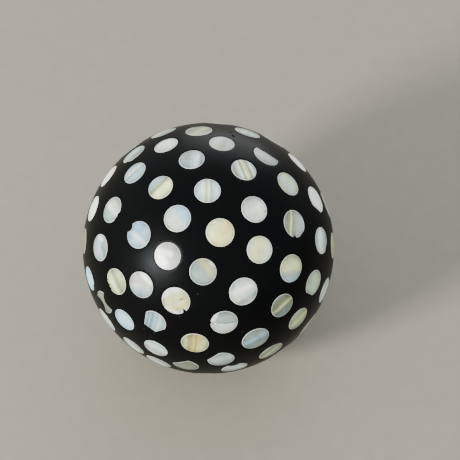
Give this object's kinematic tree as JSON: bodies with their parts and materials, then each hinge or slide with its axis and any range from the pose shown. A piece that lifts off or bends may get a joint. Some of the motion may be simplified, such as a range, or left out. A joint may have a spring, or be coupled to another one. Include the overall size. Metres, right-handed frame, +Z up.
{
  "type": "decorative sphere",
  "caption": "Palm-wide black resin ball inlaid all over with round mother-of-pearl discs ground nearly flush, with a small flat underneath so that it stays where it is set down.",
  "frame": {"origin": "middle of the small flat spot on the underside, on the surface that the ball rests on", "axes": "+Z is up, through the middle of the ball; the side seen most faces -Y and up, and the first row of discs circles a pole tilted 44 degrees from +Z"},
  "size_m": [0.1, 0.1, 0.0995],
  "materials": {
    "black_resin": "black cast resin, ground and polished to a satin gloss, with faint fine scratches",
    "shell": "mother-of-pearl, polished flush: silvery, bluish white and cream with fine growth bands and a soft sheen"
  },
  "bodies": {
    "root": {"ball": "black_resin", "disc_0_00": "shell", "disc_1_00": "shell", "disc_1_01": "shell", "disc_1_02": "shell", "disc_1_03": "shell", "disc_1_04": "shell", "disc_1_05": "shell", "disc_1_06": "shell", "disc_1_07": "shell", "disc_2_00": "shell", "disc_2_01": "shell", "disc_2_02": "shell", "disc_2_03": "shell", "disc_2_04": "shell", "disc_2_05": "shell", "disc_2_06": "shell", "disc_2_07": "shell", "disc_2_08": "shell", "disc_2_09": "shell", "disc_2_10": "shell", "disc_2_11": "shell", "disc_2_12": "shell", "disc_2_13": "shell", "disc_3_03": "shell", "disc_3_04": "shell", "disc_3_05": "shell", "disc_3_06": "shell", "disc_3_07": "shell", "disc_3_08": "shell", "disc_3_09": "shell", "disc_3_10": "shell", "disc_3_11": "shell", "disc_3_12": "shell", "disc_3_13": "shell", "disc_3_14": "shell", "disc_4_05": "shell", "disc_4_06": "shell", "disc_4_07": "shell", "disc_4_08": "shell", "disc_4_09": "shell", "disc_4_10": "shell", "disc_4_11": "shell", "disc_4_12": "shell", "disc_4_13": "shell", "disc_4_14": "shell", "disc_4_15": "shell", "disc_5_07": "shell", "disc_5_08": "shell", "disc_5_09": "shell", "disc_5_10": "shell", "disc_5_11": "shell", "disc_5_12": "shell", "disc_5_13": "shell", "disc_5_14": "shell", "disc_6_07": "shell", "disc_6_08": "shell", "disc_6_09": "shell", "disc_6_10": "shell", "disc_6_11": "shell"}
  },
  "joints": []
}
